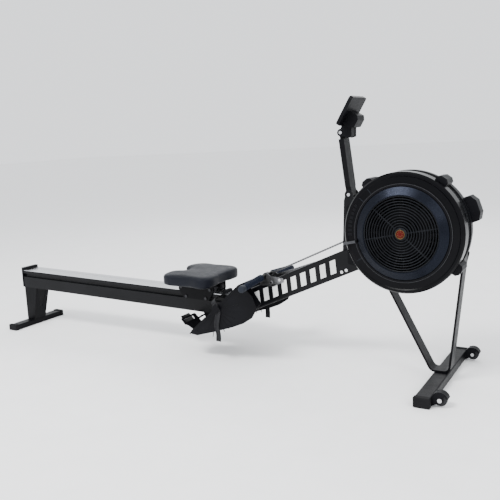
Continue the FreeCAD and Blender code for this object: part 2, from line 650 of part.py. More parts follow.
def foot_rest():
    """Moulded footrest: board, ribbed outer skirt with a round underside, inner fixing flange."""
    y0, y1 = FOOT_IN, FOOT_OUT
    board = on_board(prism([(0, -BOARD_THICK), (BOARD_LENGTH, -BOARD_THICK), (BOARD_LENGTH, 0), (0, 0)],
                           "xz", y0, y1, 2.5))
    skirt = on_board(prism(SKIRT, "xz", y1 - 4, y1, 7.0))
    groove = on_board(prism(inset(SKIRT, 0.86), "xz", y1 - 1.2, y1 + 1, 6.0))
    skirt = skirt.cut(groove)
    inner = on_board(prism([(60, -3), (340, -3), (330, -110), (214, -104), (110, -60)], "xz", y0, y0 + 4, 6.0))
    places = ((92, -52), (180, -90), (290, -104))
    ribs = [on_board(prism([(u, -3), (u + 4, -3), (u + 4, v), (u, v)], "xz", y0 + 2, y1 - 3)) for u, v in places]
    lo, hi = STRAP_ALONG - STRAP_WIDTH / 2, STRAP_ALONG + STRAP_WIDTH / 2
    slots = [on_board(box(lo, hi, y - STRAP_THICK / 2, y + STRAP_THICK / 2, -14, 10)) for y in STRAP_LEGS]
    flange = box(1440, 1500, BEAM_HALF_WIDTH + 4, y0 + 4, 236, 270)
    bolt_room = rod(LOWER_PULLEY.x, LOWER_PULLEY.z, 12, 0, y0 + 10)
    return fuse([board, skirt, inner] + ribs + [flange]).cut(slots + [bolt_room])


def heel_cup():
    """Sliding heel piece: base on the board and a slotted back wall."""
    y0, y1 = FOOT_IN + 8, FOOT_OUT - 2
    base = on_board(prism([(8, GAP), (120, GAP), (120, 4), (8, 4)], "xz", y0, y1 - 6, 1.5))
    wall = on_board(prism([(y0, 3), (y1 - 30, 3), (y1 - 14, 34), (y1, 44), (y1, 76), (y0 + 6, 76), (y0, 68)],
                          "yz", 8, 13))
    slot = on_board(box(0, 30, y0 + 24, y1 - 9, 50, 67))
    return fuse([base, wall]).cut(slot)



def foot_strap(tail_x, tail_z):
    """Webbing over the board, through its slots, and a tail that hangs outside."""
    y0, y1 = STRAP_LEGS
    t = STRAP_THICK
    lo, hi = STRAP_ALONG - STRAP_WIDTH / 2, STRAP_ALONG + STRAP_WIDTH / 2
    over = [(y0 - t / 2, -14), (y0 - t / 2, 22), (y0 + 18, 40), (y1 - 18, 40), (y1 + t / 2, 22), (y1 + t / 2, -14)]
    under = [(y1 - t / 2, -14), (y1 - t / 2, 21), (y1 - 19, 40 - t), (y0 + 19, 40 - t), (y0 + t / 2, 21),
             (y0 + t / 2, -14)]
    arch = on_board(prism(over + under, "yz", lo, hi))
    out = FOOT_OUT + 1
    top = on_board(prism([(y1 - 16, 37), (y1 - 16, 40), (out + t, 17), (out + t, 14), (out, 14)], "yz", lo, hi))
    a = math.radians(BOARD_ANGLE)
    ends = [(HEEL_X + u * math.cos(a) - 14 * math.sin(a), HEEL_Z + u * math.sin(a) + 14 * math.cos(a)) for u in (lo, hi)]
    tail = prism(ends + [(tail_x + 36, tail_z - 4), (tail_x, tail_z)], "xz", out, out + t)
    return fuse([arch, top, tail])


def strap_buckles():
    """Plastic cam buckles that grip the straps outside the footrests."""
    y = FOOT_OUT + 1 + STRAP_THICK
    outline = [(189, -22), (223, -22), (223, 10), (189, 10)]
    plate = on_board(prism(outline, "xz", y, y + 6, 4.0))
    return Part.makeCompound(both_sides(plate))


# ---------------------------------------------------------------- frame lock
LOCK_X, LOCK_Z = 1240.0, 170.0


def frame_lock_loop():
    """Flat U-shaped pull under the rail's front."""
    path = [(LOCK_X - 5, LOCK_Z), (1206, 164), (1118, 112), (1080, 146)]
    loop = strip(path, 12.0, 5.0, -32, 32)
    hand = box(1116, 1204, -23, 23, 60, 200)
    barrel = rod(LOCK_X, LOCK_Z, 9, -32, 32)
    return fuse([loop.cut(hand), barrel]).cut(rod(LOCK_X, LOCK_Z, PIN_R + CLEAR, -60, 60))


def frame_lock_bracket():
    """Ears and pin under the rail that carry the pull."""
    roof = on_rail(box(LOCK_X - 22, LOCK_X + 22, -38, 38, -RAIL_HEIGHT - 4, -RAIL_HEIGHT))
    ear = prism([(LOCK_X - 12, LOCK_Z - 10), (LOCK_X + 12, LOCK_Z - 10), (LOCK_X + 20, 186), (LOCK_X - 20, 186)],
                "xz", 32 + GAP, 37)
    ear = ear.cut(on_rail(box(1100, 1400, 0, 60, -RAIL_HEIGHT, 0)))
    return fuse([roof, rod(LOCK_X, LOCK_Z, PIN_R, -37, 37)] + both_sides(ear))


# ---------------------------------------------------------------- monitor
ARM_LEAN = math.degrees(math.atan2(ARM_X - TILT_X, TILT_Z - ARM_Z))
ARM_REACH = math.hypot(TILT_X - ARM_X, TILT_Z - ARM_Z)
HEAD_X, HEAD_Z = 1950.0, 1007.0


def on_arm(shape):
    """From arm axes (z along the arm from its lower pivot) into the machine's frame."""
    shape.rotate(V(0, 0, 0), V(0, 1, 0), -ARM_LEAN)
    shape.translate(V(ARM_X, 0, ARM_Z))
    return shape


def on_head(shape):
    """From monitor axes (z up its back face, x out of its back) into the machine's frame."""
    shape.rotate(V(0, 0, 0), V(0, 1, 0), MONITOR_TILT)
    shape.translate(V(HEAD_X, 0, HEAD_Z))
    return shape


def monitor_arm():
    """Rectangular tube with a round lug at each end."""
    tube = box(-11, 11, -30, 30, 30, ARM_REACH - 25)
    bore = box(-8.5, 8.5, -27.5, 27.5, 36, ARM_REACH - 31)
    lower = prism([(-11, 34), (-13, 0), (13, 0), (11, 34)], "xz", -26, 26)
    top = [(-11, ARM_REACH - 27), (-12, ARM_REACH), (12, ARM_REACH), (11, ARM_REACH - 27)]
    upper = prism(top, "xz", -13, 13)
    ends = [rod(0, 0, 13, -26, 26), rod(0, ARM_REACH, 12, -13, 13)]
    bores = [rod(0, 0, PIN_R + CLEAR, -60, 60), rod(0, ARM_REACH, PIN_R + CLEAR, -60, 60)]
    return on_arm(fuse([tube.cut(bore), lower, upper] + ends).cut(bores))


HEAD_DEPTH, HEAD_HALF, HEAD_HEIGHT = 14.0, 76.0, 122.0


def monitor_body():
    """Display case with a battery box and two tilt ears on its back."""
    h, top, d = HEAD_HALF, HEAD_HEIGHT, HEAD_DEPTH
    slab = prism([(-h, 0), (h, 0), (h, top), (-h, top)], "yz", -d, 0.0, 12.0)
    recess = prism([(16 - h, 32), (h - 16, 32), (h - 16, top - 10), (16 - h, top - 10)], "yz", -d - 1, 3 - d, 3.0)
    keys = [box(-d - 1, 6 - d, y - 9, y + 9, 10, 22) for y in KEY_PLACES]
    back = prism([(-1, 6), (30, 6), (46, 18), (46, 50), (36, 64), (-1, 64)], "xz", -36, 36)
    case = on_head(fuse([slab.cut([recess] + keys), back]))
    neck = [(1938, 967), (1950, 966), (1966, 958), (1983, 962), (1985, 1004), (1966, 1016), (1946, 1018), (1938, 995)]
    ear = fuse([prism(neck, "xz", 13 + GAP, 26), rod(TILT_X, TILT_Z, 15, 13 + GAP, 26)])
    bridge = prism([(1964, 965), (1982, 964), (1984, 1003), (1965, 1012)], "xz", -14, 14)
    ear = ear.cut(rod(TILT_X, TILT_Z, PIN_R, 0, 60))
    return fuse([case, bridge] + both_sides(ear))


KEY_PLACES = (-40.0, 0.0, 40.0)


def monitor_key(y):
    """Push button that stands 2 mm proud of the display's face."""
    d = HEAD_DEPTH
    g = GAP
    return on_head(box(-d - 2, 3 - d, y - 9 + g, y + 9 - g, 10 + g, 22 - g))


def monitor_screen():
    h, top, d = HEAD_HALF - 16, HEAD_HEIGHT - 10, HEAD_DEPTH
    return on_head(prism([(-h, 32), (h, 32), (h, top), (-h, top)], "yz", 0.5 - d, 3 - d, 3.0))


def tilt_bolt():
    return through_bolt(TILT_X, TILT_Z, 26.0)


# ---------------------------------------------------------------- seat
UPPER_AXLE_Z = ROLLER_R + GAP
LOWER_AXLE_Z = GROOVE_TOP - GAP - LOWER_ROLLER_R
PLATE_Y = RAIL_WIDTH / 2 + 4
UPPER_OFFSET, LOWER_OFFSET = 82.0, 56.0
PAD_BASE = 42.0


def seat_pad():
    """Moulded seat: wide, with two rear lobes either side of a tailbone notch."""
    half, rear, front = SEAT_WIDTH / 2, SEAT_X - 138, SEAT_X + 134
    side = [(front - 6, 26), (front, 78), (front - 4, 130), (front - 22, half - 6), (SEAT_X + 40, half - 3),
            (SEAT_X - 40, half), (rear + 27, half - 4), (rear + 5, 134), (rear, 92), (rear + 9, 48)]
    notch = [(rear + 48, 14)]
    left = side + notch
    points = left + [(x, -y) for x, y in reversed(left)]
    curve = Part.BSplineCurve()
    curve.interpolate([V(x, y, PAD_BASE) for x, y in points], PeriodicFlag=True)
    pad = Part.Face(Part.Wire(curve.toShape())).extrude(V(0, 0, SEAT_THICK))
    top = [e for e in pad.Edges if e.BoundBox.ZMin > PAD_BASE + SEAT_THICK - 0.1]
    return on_rail(pad.makeFillet(7.0, top))


def seat_carriage():
    """Folded carriage: top plate and two cheeks that carry the roller axles."""
    x0, x1 = SEAT_X - 98, SEAT_X + 98
    top = box(x0, x1, -PLATE_Y - 4, PLATE_Y + 4, PAD_BASE - 5, PAD_BASE)
    cheek = prism([(x0, PAD_BASE), (x1, PAD_BASE), (x1, 4), (SEAT_X + 72, LOWER_AXLE_Z - 9),
                   (SEAT_X - 72, LOWER_AXLE_Z - 9), (x0, 4)], "xz", PLATE_Y, PLATE_Y + 4)
    holes = [rod(SEAT_X + s * UPPER_OFFSET, UPPER_AXLE_Z, PIN_R, 0, 80) for s in (1, -1)]
    holes += [rod(SEAT_X + s * LOWER_OFFSET, LOWER_AXLE_Z, 4, 0, 80) for s in (1, -1)]
    return on_rail(fuse([top] + both_sides(cheek.cut(holes))))


def seat_axles():
    """Through axles of the upper rollers and stub axles of the lower ones."""
    out = PLATE_Y + 4
    solids = []
    for s in (1, -1):
        solids.append(through_bolt(SEAT_X + s * UPPER_OFFSET, UPPER_AXLE_Z, out))
        x = SEAT_X + s * LOWER_OFFSET
        stub = fuse([rod(x, LOWER_AXLE_Z, 4, PLATE_Y - 14, out), rod(x, LOWER_AXLE_Z, 7, out, out + 4)])
        solids += both_sides(stub)
    return on_rail(Part.makeCompound(solids))


def upper_rollers(side):
    wheel = ring(SEAT_X + side * UPPER_OFFSET, UPPER_AXLE_Z, PIN_R + CLEAR, ROLLER_R, 21, 43)
    return on_rail(Part.makeCompound(both_sides(wheel)))


def lower_rollers(side):
    y = RAIL_WIDTH / 2 - GROOVE_DEPTH + 1.5
    wheel = ring(SEAT_X + side * LOWER_OFFSET, LOWER_AXLE_Z, 4 + CLEAR, LOWER_ROLLER_R, y, y + 11)
    return on_rail(Part.makeCompound(both_sides(wheel)))


# ---------------------------------------------------------------- the assembly
NODES = {
    "rail_beam": rail_beam(),
    "rail_track": rail_track(),
    "rail_end_stops": rail_end_stops(),
    "rail_brackets": Part.makeCompound([rail_bracket(), frame_lock_bracket()]),
    "rear_leg": rear_leg(),
    "rear_foot_bar": rear_foot_bar(),
    "foot_caps": foot_caps(),
    "main_beam": main_beam(),
    "upright_casing": upright_casing(),
    "fan_plates": fan_plates(),
    "front_leg_strap": front_leg_strap(),
    "front_foot_tube": front_foot_tube(),
    "caster_brackets": Part.makeCompound(both_sides(caster_bracket())),
    "caster_wheel_near": caster_wheel(-1),
    "caster_wheel_far": caster_wheel(1),
    "frame_bolts": frame_bolts(),
    "handle_rest": handle_rest(),
    "fan_cover_near": fan_cover_near(),
    "fan_grille": fan_grille(),
    "hub_medallion": hub_medallion(),
    "perforated_band": perforated_band(),
    "fan_cover_far": fan_cover_far(),
    "cover_lugs": cover_lugs(),
    "sensor_box": sensor_box(),
    "fan_wheel": fan_wheel(),
    "fan_axle": fan_axle(),
    "axle_bearings": axle_bearings(),
    "chain_sprocket": chain_sprocket(),
    "damper_lever": damper_lever(),
    "chain_run": chain_run(),
    "chain_drive": chain_drive(),
    "exit_roller": exit_roller(),
    "upper_pulley": pulley(UPPER_PULLEY, UPPER_PULLEY_R),
    "lower_pulley": pulley(LOWER_PULLEY, LOWER_PULLEY_R),
    "shock_cord": shock_cord(),
    "handle_bar": handle_bar(),
    "handle_grips": handle_grips(),
    "handle_yoke": handle_yoke(),
    "foot_rest_near": mirror(foot_rest()),
    "foot_rest_far": foot_rest(),
    "heel_cup_near": mirror(heel_cup()),
    "heel_cup_far": heel_cup(),
    "foot_strap_near": mirror(foot_strap(1364, 97)),
    "foot_strap_far": foot_strap(1432, 120),
    "strap_buckles": strap_buckles(),
    "frame_lock_loop": frame_lock_loop(),
    "monitor_arm": monitor_arm(),
    "monitor_body": monitor_body(),
    "monitor_screen": monitor_screen(),
    "monitor_key_left": monitor_key(KEY_PLACES[2]),
    "monitor_key_middle": monitor_key(KEY_PLACES[1]),
    "monitor_key_right": monitor_key(KEY_PLACES[0]),
    "tilt_bolt": tilt_bolt(),
    "seat_pad": seat_pad(),
    "seat_carriage": seat_carriage(),
    "seat_axles": seat_axles(),
    "upper_rollers_front": upper_rollers(1),
    "upper_rollers_rear": upper_rollers(-1),
    "lower_rollers_front": lower_rollers(1),
    "lower_rollers_rear": lower_rollers(-1),
}

os.makedirs("parts", exist_ok=True)
rear_end = NODES["foot_caps"].BoundBox.XMin
front_end = NODES["sensor_box"].BoundBox.XMax
for name, shape in NODES.items():
    shape.translate(V(-(rear_end + front_end) / 2, 0, 0))
    shape.exportStep("parts/" + name + ".step")
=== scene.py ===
"""Looks, fine detail, light and camera of the rowing machine, built round the CAD frame."""
import json
import math

import bmesh
import bpy
from mathutils import Matrix, Vector


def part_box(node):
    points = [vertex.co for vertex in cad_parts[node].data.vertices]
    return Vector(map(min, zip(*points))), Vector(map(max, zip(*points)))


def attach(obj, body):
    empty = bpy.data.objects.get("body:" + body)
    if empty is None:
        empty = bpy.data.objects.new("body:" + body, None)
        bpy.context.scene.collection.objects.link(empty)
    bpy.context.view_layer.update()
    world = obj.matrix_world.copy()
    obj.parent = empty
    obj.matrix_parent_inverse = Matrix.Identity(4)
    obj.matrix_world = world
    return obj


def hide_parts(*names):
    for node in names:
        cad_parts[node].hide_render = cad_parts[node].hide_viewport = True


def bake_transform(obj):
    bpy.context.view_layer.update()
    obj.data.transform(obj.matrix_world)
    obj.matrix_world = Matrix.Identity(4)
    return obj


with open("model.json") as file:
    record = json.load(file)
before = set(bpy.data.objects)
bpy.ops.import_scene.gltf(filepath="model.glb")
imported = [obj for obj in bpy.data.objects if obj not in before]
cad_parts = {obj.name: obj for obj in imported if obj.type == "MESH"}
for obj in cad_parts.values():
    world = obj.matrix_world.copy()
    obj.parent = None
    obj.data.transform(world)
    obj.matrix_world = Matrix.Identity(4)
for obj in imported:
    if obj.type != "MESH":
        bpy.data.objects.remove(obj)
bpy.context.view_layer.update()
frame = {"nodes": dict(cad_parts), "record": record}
NODES = frame["nodes"]


# ---------------------------------------------------------------- places read from the frame
def middle(node):
    low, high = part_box(node)
    return (low + high) / 2


FAN = middle("fan_axle")
FAN.y = 0.0
DEPTH = Vector((0, 1, 0))
CORNERS = ((-1, -1), (1, -1), (1, 1), (-1, 1))

# Slopes of the beam and of the footboards in degrees, and the boards' heel height: the same as in the CAD.
BEAM_ANGLE = 23.2
BOARD_ANGLE = 41.5
HEEL_HEIGHT = 0.117
# How far the boards' heel line lies behind the footrests' boxes.
HEEL_BEHIND_BOX = 0.0010
# Breadth and rough slope, in radians, of the CAD chain run.
CHAIN_BREADTH = 0.009
CHAIN_SLOPE = 0.417
# Radii about the fan's axle: the near cover's bevelled ring, and where the damper's lever starts.
RING_INNER, RING_OUTER = 0.1425, 0.1738
LEVER_ROOT = 0.184
WORLD_STRENGTH = 1.6


def directions(degrees):
    """Unit vectors along and square to a line at that angle above +X, seen from the side."""
    a = math.radians(degrees)
    return Vector((math.cos(a), 0, math.sin(a))), Vector((-math.sin(a), 0, math.cos(a)))


def board_heel():
    """Heel end of the footboards' line, on the machine's middle plane."""
    return Vector((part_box("foot_rest_far")[0].x - HEEL_BEHIND_BOX, 0, HEEL_HEIGHT))


# ---------------------------------------------------------------- material building
class Look:
    """A Principled material with a few helpers for wiring its textures."""

    def __init__(self, name, color, rough, metal=0.0):
        self.mat = bpy.data.materials.new(name)
        self.mat.use_nodes = True
        self.nodes = self.mat.node_tree.nodes
        self.links = self.mat.node_tree.links
        self.shader = self.nodes["Principled BSDF"]
        self.shader.inputs["Base Color"].default_value = (*color, 1)
        self.shader.inputs["Roughness"].default_value = rough
        self.shader.inputs["Metallic"].default_value = metal
        self.shader.inputs["Specular IOR Level"].default_value = 0.5 if metal else 0.06
        self.coords = self.nodes.new("ShaderNodeTexCoord").outputs["Object"]
        self.normal = None

    def put(self, socket, value):
        self.shader.inputs[socket].default_value = value
        return self

    def link(self, output, socket):
        self.links.new(output, self.shader.inputs[socket])

    def math(self, op, a, b=None):
        node = self.nodes.new("ShaderNodeMath")
        node.operation = op
        for i, v in enumerate((a, b)):
            if isinstance(v, (int, float)):
                node.inputs[i].default_value = v
            elif v is not None:
                self.links.new(v, node.inputs[i])
        return node.outputs[0]

    def stretched(self, scale):
        node = self.nodes.new("ShaderNodeMapping")
        node.inputs["Scale"].default_value = scale
        self.links.new(self.coords, node.inputs["Vector"])
        return node.outputs[0]

    def noise(self, scale, detail=4.0, rough=0.55, vector=None):
        node = self.nodes.new("ShaderNodeTexNoise")
        node.inputs["Scale"].default_value = scale
        node.inputs["Detail"].default_value = detail
        node.inputs["Roughness"].default_value = rough
        self.links.new(vector or self.coords, node.inputs["Vector"])
        return node.outputs["Fac"]

    def span(self, value, low, high, start=0.0, end=1.0):
        node = self.nodes.new("ShaderNodeMapRange")
        for name, number in (("From Min", start), ("From Max", end), ("To Min", low), ("To Max", high)):
            node.inputs[name].default_value = number
        self.links.new(value, node.inputs["Value"])
        return node.outputs[0]

    def mix(self, factor, first, second):
        node = self.nodes.new("ShaderNodeMix")
        node.data_type = "RGBA"
        self.links.new(factor, node.inputs["Factor"])
        for socket, value in ((node.inputs[6], first), (node.inputs[7], second)):
            if isinstance(value, tuple):
                socket.default_value = (*value, 1)
            else:
                self.links.new(value, socket)
        return node.outputs[2]

    def bump(self, height, strength, distance=0.001):
        node = self.nodes.new("ShaderNodeBump")
        node.inputs["Strength"].default_value = strength
        node.inputs["Distance"].default_value = distance
        self.links.new(height, node.inputs["Height"])
        if self.normal:
            self.links.new(self.normal, node.inputs["Normal"])
        self.normal = node.outputs[0]
        self.link(self.normal, "Normal")
        return self

    def axes(self):
        node = self.nodes.new("ShaderNodeSeparateXYZ")
        self.links.new(self.coords, node.inputs[0])
        return node.outputs

    def fan_radius(self):
        """Distance from the fan's axle, in metres."""
        x, _, z = self.axes()
        dx, dz = self.math("SUBTRACT", x, FAN.x), self.math("SUBTRACT", z, FAN.z)
        square = self.math("ADD", self.math("MULTIPLY", dx, dx), self.math("MULTIPLY", dz, dz))
        return self.math("SQRT", square)


def coated(name, dark, light, rough, grain=900.0, relief=0.25, metal=0.0, spread=0.10):
    """Painted or moulded surface: cloudy tone, uneven gloss and a fine grain."""
    look = Look(name, dark, rough, metal)
    cloud = look.noise(7.0, 5.0)
    look.link(look.mix(look.span(cloud, 0, 1, 0.3, 0.7), dark, light), "Base Color")
    smear = look.noise(38.0, 6.0, 0.7)
    look.link(look.span(smear, rough - spread / 2, rough + spread, 0.3, 0.75), "Roughness")
    look.bump(look.noise(grain, 2.0), relief, 0.0004)
    return look


def brushed(name, dark, light, rough, stretch, relief=0.25):
    """Bare metal with fine lines; stretch is small along the lines."""
    look = Look(name, light, rough, 1.0)
    lines = look.noise(60.0, 6.0, 0.75, look.stretched(stretch))
    look.link(look.mix(look.span(lines, 0, 1, 0.3, 0.7), dark, light), "Base Color")
    stain = look.noise(22.0, 4.0)
    both = look.math("ADD", look.math("MULTIPLY", lines, 0.5), look.math("MULTIPLY", stain, 0.5))
    look.link(look.span(both, rough - 0.08, rough + 0.12, 0.35, 0.65), "Roughness")
    look.bump(lines, relief, 0.0003)
    return look


def cover_look():
    """Gloss black moulding; its bevelled ring is harder and bluer, with marks turned round the axle."""
    look = Look("drum_gloss_and_ring", (0.010, 0.010, 0.012), 0.16)
    radius = look.fan_radius()
    inside = look.math("MULTIPLY", look.math("GREATER_THAN", radius, RING_INNER),
                       look.math("LESS_THAN", radius, RING_OUTER))
    turned = look.math("SINE", look.math("MULTIPLY", radius, 9000.0))
    grain = look.noise(420.0, 3.0)
    lines = look.math("ADD", look.math("MULTIPLY", turned, 0.3), grain)
    blue = look.mix(look.span(lines, 0, 1, 0.2, 0.9), (0.0060, 0.0070, 0.0105), (0.0125, 0.0146, 0.0210))
    cloud = look.mix(look.noise(9.0), (0.0014, 0.0014, 0.0019), (0.0030, 0.0030, 0.0038))
    look.link(look.mix(inside, cloud, blue), "Base Color")
    look.link(look.math("MULTIPLY", inside, 0.85), "Metallic")
    gloss = look.span(look.noise(55.0, 6.0, 0.7), 0.15, 0.27, 0.3, 0.7)
    look.link(look.math("ADD", gloss, look.math("MULTIPLY", inside, 0.08)), "Roughness")
    look.bump(look.math("MULTIPLY", lines, inside), 0.2, 0.0002)
    return look


def lever_look():
    """Damper ring in black, its lever in worn grey."""
    look = Look("lever_grey", (0.03, 0.03, 0.034), 0.40)
    arm = look.math("GREATER_THAN", look.fan_radius(), LEVER_ROOT)
    grey = look.mix(look.noise(40.0, 5.0), (0.028, 0.029, 0.032), (0.055, 0.056, 0.060))
    black = look.mix(look.noise(40.0, 5.0), (0.0020, 0.0020, 0.0026), (0.0045, 0.0045, 0.0056))
    look.link(look.mix(arm, black, grey), "Base Color")
    look.link(look.span(look.noise(38.0, 6.0, 0.7), 0.34, 0.50, 0.3, 0.75), "Roughness")
    look.bump(look.noise(900.0, 2.0), 0.25, 0.0004)
    return look


def webbing_look():
    """Woven black strap: two crossing sets of threads and a fine fuzz."""
    look = Look("black_webbing", (0.007, 0.007, 0.008), 0.82)
    x, _, z = look.axes()
    slope = look.math("ADD", look.math("MULTIPLY", x, 3600.0), look.math("MULTIPLY", z, 3600.0))
    across = look.math("SINE", slope)
    cross = look.math("SINE", look.math("MULTIPLY", look.math("SUBTRACT", x, z), 2600.0))
    weave = look.math("MULTIPLY", across, cross)
    tone = look.span(weave, 0, 1, -1, 1)
    look.link(look.mix(tone, (0.0035, 0.0035, 0.0042), (0.0140, 0.0140, 0.0165)), "Base Color")
    look.put("Sheen Weight", 0.08).put("Sheen Roughness", 0.5)
    look.bump(weave, 0.6, 0.0006)
    look.bump(look.noise(1500.0, 2.0), 0.3, 0.0003)
    return look


def screen_look():
    """Reflective display: grey-green field with rows of dark segments."""
    look = Look("lcd_panel", (0.16, 0.19, 0.15), 0.12)
    _, y, z = look.axes()
    rows = look.math("GREATER_THAN", look.math("SINE", look.math("MULTIPLY", z, 420.0)), 0.35)
    marks = look.math("GREATER_THAN", look.math("SINE", look.math("MULTIPLY", y, 640.0)), -0.2)
    middle_part = look.math("LESS_THAN", look.math("ABSOLUTE", y), 0.05)
    ink = look.math("MULTIPLY", look.math("MULTIPLY", rows, marks), middle_part)
    field = look.mix(look.noise(30.0), (0.15, 0.18, 0.14), (0.19, 0.22, 0.17))
    look.link(look.mix(ink, field, (0.02, 0.025, 0.02)), "Base Color")
    look.put("Coat Weight", 0.6).put("Coat Roughness", 0.05)
    look.link(look.span(look.noise(60.0, 5.0), 0.08, 0.2), "Roughness")
    return look


LOOKS = {
    "black_paint": coated("black_powder_coat", (0.0024, 0.0024, 0.0030), (0.0050, 0.0050, 0.0060),
                          0.36, 1400, 0.30),
    "black_extrusion": coated("black_satin_rail", (0.0020, 0.0021, 0.0028), (0.0042, 0.0043, 0.0053),
                              0.32, 1100, 0.18),
    "stainless": brushed("stainless_lengthwise", (0.50, 0.51, 0.53), (0.78, 0.79, 0.80),
                         0.26, (0.35, 9.0, 9.0)),
    "bare_steel": brushed("bright_steel", (0.40, 0.40, 0.41), (0.68, 0.68, 0.69), 0.22, (3.0, 1.0, 3.0)),
    "gloss_plastic": cover_look(),
    "matte_plastic": coated("black_moulded_plastic", (0.0026, 0.0026, 0.0034), (0.0054, 0.0055, 0.0068),
                            0.42, 700, 0.45),
    "rubber": coated("black_rubber", (0.0050, 0.0050, 0.0055), (0.0095, 0.0095, 0.0105), 0.62, 520, 0.6),
    "webbing": webbing_look(),
    "elastic": coated("braided_elastic", (0.02, 0.02, 0.022), (0.06, 0.06, 0.065), 0.75, 900, 0.8),
    "screen": screen_look(),
    "red_plastic": coated("red_medallion", (0.034, 0.0003, 0.0008), (0.070, 0.0006, 0.0014),
                          0.32, 900, 0.12),
    "roller_plastic": coated("roller_plastic", (0.014, 0.014, 0.015), (0.028, 0.028, 0.030),
                             0.42, 600, 0.3),
    "fan_steel": coated("fan_black_paint", (0.0025, 0.0025, 0.0030), (0.0050, 0.0050, 0.0058),
                        0.50, 900, 0.25),
    "seat_foam": coated("seat_moulded_foam", (0.0055, 0.0062, 0.0090), (0.0100, 0.0112, 0.0160),
                        0.40, 820, 0.5),
}
LOOKS["seat_foam"].put("Sheen Weight", 0.06).put("Sheen Roughness", 0.4)
LOOKS["black_extrusion"].put("Coat Weight", 0.12).put("Coat Roughness", 0.3)
LOOKS["red_plastic"].put("Coat Weight", 0.08).put("Coat Roughness", 0.08)
RING_GRILLE = coated("grille_black", (0.0060, 0.0065, 0.0080), (0.0120, 0.0130, 0.0155), 0.24, 800, 0.2)
GRIP = coated("grip_blue_black", (0.0045, 0.0065, 0.0130), (0.0090, 0.0125, 0.0240), 0.50, 900, 0.5)
STRIPE = coated("white_print", (0.62, 0.62, 0.61), (0.78, 0.78, 0.77), 0.42, 1500, 0.12)
BAND = coated("black_perforated_steel", (0.0030, 0.0032, 0.0040), (0.0080, 0.0085, 0.0100),
              0.70, 900, 0.2)
LEVER = lever_look()
# Handle rest's stainless, its colour darkened as a painted dark reflection.
STAINLESS_DARK_REFLECTION = brushed("stainless_painted_dark_reflection", (0.14, 0.14, 0.145), (0.30, 0.30, 0.31), 0.30, (0.6, 9.0, 6.0))
BRASS = brushed("medallion_brass", (0.06, 0.040, 0.014), (0.16, 0.105, 0.040), 0.34, (3.0, 1.0, 3.0))
CHAIN = brushed("oiled_chain_steel", (0.07, 0.07, 0.075), (0.17, 0.17, 0.175), 0.34, (3.0, 1.0, 3.0))
DARK_BOLT = brushed("black_zinc_bolt", (0.018, 0.018, 0.020), (0.045, 0.045, 0.048),
                    0.32, (3.0, 1.0, 3.0))
# Pale bluish grey: on the grip ends it is a painted highlight; on the damper's sector it colours the three
# short lines.
GREY_HIGHLIGHT_AND_MARKS = coated("grey_painted_highlight_and_marks", (0.011, 0.013, 0.018), (0.022, 0.025, 0.032), 0.42, 700, 0.4)


def dress(obj, look):
    """Gives an object one material."""
    obj.data.materials.clear()
    obj.data.materials.append(look.mat)
    return obj


SLOTS = {s["node"]: s["material_slot"] for s in frame["record"]["subparts"]}
OWN_LOOK = {
    "seat_axles": DARK_BOLT, "handle_yoke": DARK_BOLT, "chain_drive": CHAIN, "chain_sprocket": CHAIN,
    "fan_grille": RING_GRILLE, "fan_cover_far": LOOKS["matte_plastic"], "damper_lever": LEVER,
    "handle_rest": STAINLESS_DARK_REFLECTION,
}
for node, obj in NODES.items():
    dress(obj, OWN_LOOK.get(node, LOOKS[SLOTS[node]]))


# ---------------------------------------------------------------- mesh helpers
def new_piece(name, bm, look, body, smooth=True):
    """Object from a finished bmesh; body is None for a piece left unattached."""
    mesh = bpy.data.meshes.new(name)
    bmesh.ops.recalc_face_normals(bm, faces=bm.faces)
    bm.to_mesh(mesh)
    bm.free()
    obj = bpy.data.objects.new(name, mesh)
    bpy.context.scene.collection.objects.link(obj)
    for face in mesh.polygons:
        face.use_smooth = smooth
    dress(obj, look)
    if body:
        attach(obj, body)
    return obj


def bake(obj):
    """Turns an object's modifiers into plain mesh."""
    bpy.context.view_layer.objects.active = obj
    for m in list(obj.modifiers):
        bpy.ops.object.modifier_apply(modifier=m.name)
    return obj


def bevel(obj, width, segments=2, angle=0.5):
    m = obj.modifiers.new("edge", "BEVEL")
    m.width = width
    m.segments = segments
    m.limit_method = "ANGLE"
    m.angle_limit = angle
    return obj


def slab(bm, outline, low, high):
    """Prism from a flat outline of points; low and high are offsets along a vector."""
    bottom = [bm.verts.new(p + low) for p in outline]
    top = [bm.verts.new(p + high) for p in outline]
    bm.faces.new(bottom[::-1])
    bm.faces.new(top)
    count = len(outline)
    for i in range(count):
        j = (i + 1) % count
        bm.faces.new((bottom[i], bottom[j], top[j], top[i]))


def lathe(bm, profile, start, direction, sides=32):
    """Turns (distance along, radius) pairs about an axis from start; radius 0 closes an end."""
    direction = direction.normalized()
    u = direction.cross(Vector((0, 0, 1))).normalized()
    v = direction.cross(u)
    rings = []
    for along, radius in profile:
        centre = start + direction * along
        if radius == 0:
            rings.append([bm.verts.new(centre)])
            continue
        turn = [2 * math.pi * k / sides for k in range(sides)]
        rings.append([bm.verts.new(centre + (u * math.cos(a) + v * math.sin(a)) * radius) for a in turn])
    for a, b in zip(rings, rings[1:]):
        for k in range(sides):
            j = (k + 1) % sides
            if len(a) == 1:
                bm.faces.new((a[0], b[j], b[k]))
            elif len(b) == 1:
                bm.faces.new((a[k], a[j], b[0]))
            else:
                bm.faces.new((a[k], a[j], b[j], b[k]))


